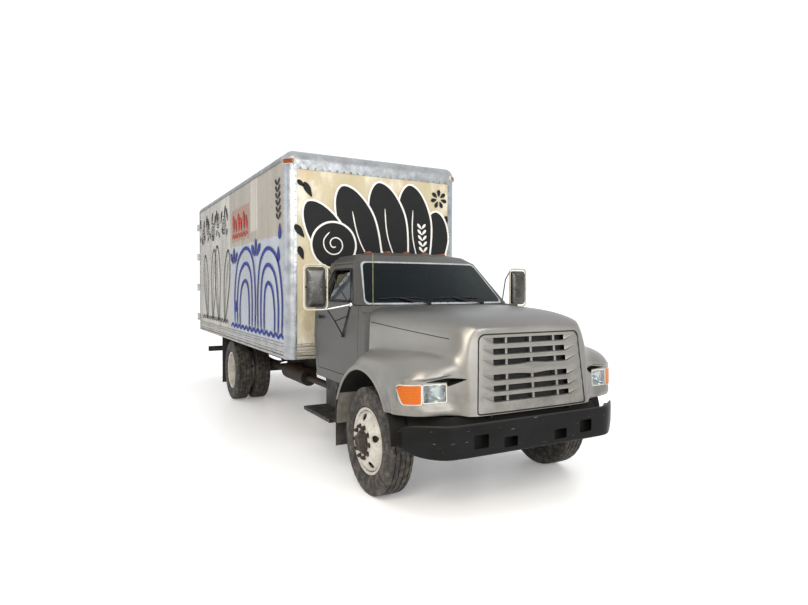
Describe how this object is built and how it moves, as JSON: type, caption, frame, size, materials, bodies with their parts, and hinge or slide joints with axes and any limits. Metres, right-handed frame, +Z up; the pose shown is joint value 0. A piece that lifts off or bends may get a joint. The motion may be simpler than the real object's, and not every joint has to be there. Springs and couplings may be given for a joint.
{
  "type": "box truck",
  "caption": "Medium-duty truck with a tilting hood, a two-door cab, a van body with swing doors at the rear and dual rear wheels.",
  "frame": {"origin": "on the ground below the middle of the bounding box", "axes": "+Z up, the truck faces -Y, +X is the truck's left; +Y is its length"},
  "size_m": [2.888, 9.055, 3.558],
  "materials": {
    "cab_paint": "satin metallic silver",
    "black_paint": "satin black",
    "frame_paint": "dull black",
    "grille_paint": "satin metallic silver",
    "wheel_paint": "weathered white",
    "tyre_rubber": "matt",
    "cast_iron": "rough",
    "spring_steel": "dull",
    "aluminium_rail": "weathered",
    "van_panel": "weathered cream and off-white",
    "van_roof": "weathered white",
    "floor_wood": "worn boards",
    "clear_glass": "tinted",
    "lamp_glass": "clear",
    "amber_lens": "gloss",
    "red_lens": "gloss",
    "dark_trim": "grained",
    "seat_vinyl": "grained vinyl",
    "flap_rubber": "matt",
    "mirror_steel": "polished",
    "tank_steel": "satin black"
  },
  "bodies": {
    "truck": {"chassis_frame": "frame_paint", "front_bumper": "black_paint", "front_axle": "cast_iron", "leaf_springs": "spring_steel", "rear_axle": "cast_iron", "engine_block": "cast_iron", "driveline": "cast_iron", "radiator": "frame_paint", "exhaust": "spring_steel", "fuel_tank": "tank_steel", "battery_box": "tank_steel", "cab_shell": "cab_paint", "cab_glass": "clear_glass", "dashboard": "dark_trim", "steering_wheel": "dark_trim", "seats": "seat_vinyl", "seat_bases": "dark_trim", "cab_steps": "black_paint", "mudflaps": "flap_rubber", "marker_lamps": "amber_lens", "box_rails": "aluminium_rail", "box_front_wall": "van_panel", "box_side_left": "van_panel", "box_side_right": "van_panel", "box_roof": "van_roof", "box_floor": "floor_wood", "box_rear_frame": "aluminium_rail", "rear_bumper": "black_paint", "tail_lamps": "red_lens"},
    "hood": {"hood": "cab_paint", "grille": "grille_paint", "headlamps": "lamp_glass", "turn_signals": "amber_lens"},
    "tie_rod": {"tie_rod": "cast_iron"},
    "cab_door_left": {"door_left": "cab_paint", "door_glass_left": "clear_glass", "mirror_left": "mirror_steel"},
    "cargo_door_left": {"cargo_door_left": "van_panel"},
    "knuckle_left": {"knuckle_left": "cast_iron"},
    "wheel_front_left": {"tyre_front_left": "tyre_rubber", "rim_front_left": "wheel_paint"},
    "wheels_rear_left": {"tyres_rear_left": "tyre_rubber", "rims_rear_left": "wheel_paint"},
    "cab_door_right": {"door_right": "cab_paint", "door_glass_right": "clear_glass", "mirror_right": "mirror_steel"},
    "cargo_door_right": {"cargo_door_right": "van_panel"},
    "knuckle_right": {"knuckle_right": "cast_iron"},
    "wheel_front_right": {"tyre_front_right": "tyre_rubber", "rim_front_right": "wheel_paint"},
    "wheels_rear_right": {"tyres_rear_right": "tyre_rubber", "rims_rear_right": "wheel_paint"}
  },
  "joints": [
    {"name": "hood_tilt", "type": "hinge", "parent": "truck", "child": "hood", "pos_m": [0, -4.4525, 0.836], "axis": [1, 0, 0], "range_deg": [0, 55]},
    {"name": "cab_door_left_swing", "type": "hinge", "parent": "truck", "child": "cab_door_left", "pos_m": [1.005, -3.0465, 1.3], "axis": [0, 0, -1], "range_deg": [0, 70]},
    {"name": "cargo_door_left_swing", "type": "hinge", "parent": "truck", "child": "cargo_door_left", "pos_m": [1.25, 4.5095, 2], "axis": [0, 0, -1], "range_deg": [0, 270]},
    {"name": "steer_left", "type": "hinge", "parent": "truck", "child": "knuckle_left", "pos_m": [0.845, -3.5225, 0.49], "axis": [0, 0, 1], "range_deg": [-35, 35]},
    {"name": "front_wheel_left_roll", "type": "hinge", "parent": "knuckle_left", "child": "wheel_front_left", "pos_m": [1.01, -3.5225, 0.49], "axis": [1, 0, 0], "continuous": true},
    {"name": "rear_wheels_left_roll", "type": "hinge", "parent": "truck", "child": "wheels_rear_left", "pos_m": [0.915, 1.7095, 0.49], "axis": [1, 0, 0], "continuous": true},
    {"name": "cab_door_right_swing", "type": "hinge", "parent": "truck", "child": "cab_door_right", "pos_m": [-1.005, -3.0465, 1.3], "axis": [0, 0, 1], "range_deg": [0, 70]},
    {"name": "cargo_door_right_swing", "type": "hinge", "parent": "truck", "child": "cargo_door_right", "pos_m": [-1.25, 4.5095, 2], "axis": [0, 0, 1], "range_deg": [0, 270]},
    {"name": "steer_right", "type": "hinge", "parent": "truck", "child": "knuckle_right", "pos_m": [-0.845, -3.5225, 0.49], "axis": [0, 0, 1], "range_deg": [-35, 35]},
    {"name": "front_wheel_right_roll", "type": "hinge", "parent": "knuckle_right", "child": "wheel_front_right", "pos_m": [-1.01, -3.5225, 0.49], "axis": [1, 0, 0], "continuous": true},
    {"name": "rear_wheels_right_roll", "type": "hinge", "parent": "truck", "child": "wheels_rear_right", "pos_m": [-0.915, 1.7095, 0.49], "axis": [1, 0, 0], "continuous": true},
    {"name": "tie_rod_swing", "type": "hinge", "parent": "knuckle_left", "child": "tie_rod", "pos_m": [0.845, -3.3325, 0.44], "axis": [0, 0, 1], "range_deg": [-35, 35]}
  ],
  "couplings": [
    {"joint": "steer_right", "follows": "steer_left", "ratio": 1},
    {"joint": "tie_rod_swing", "follows": "steer_left", "ratio": -1}
  ]
}
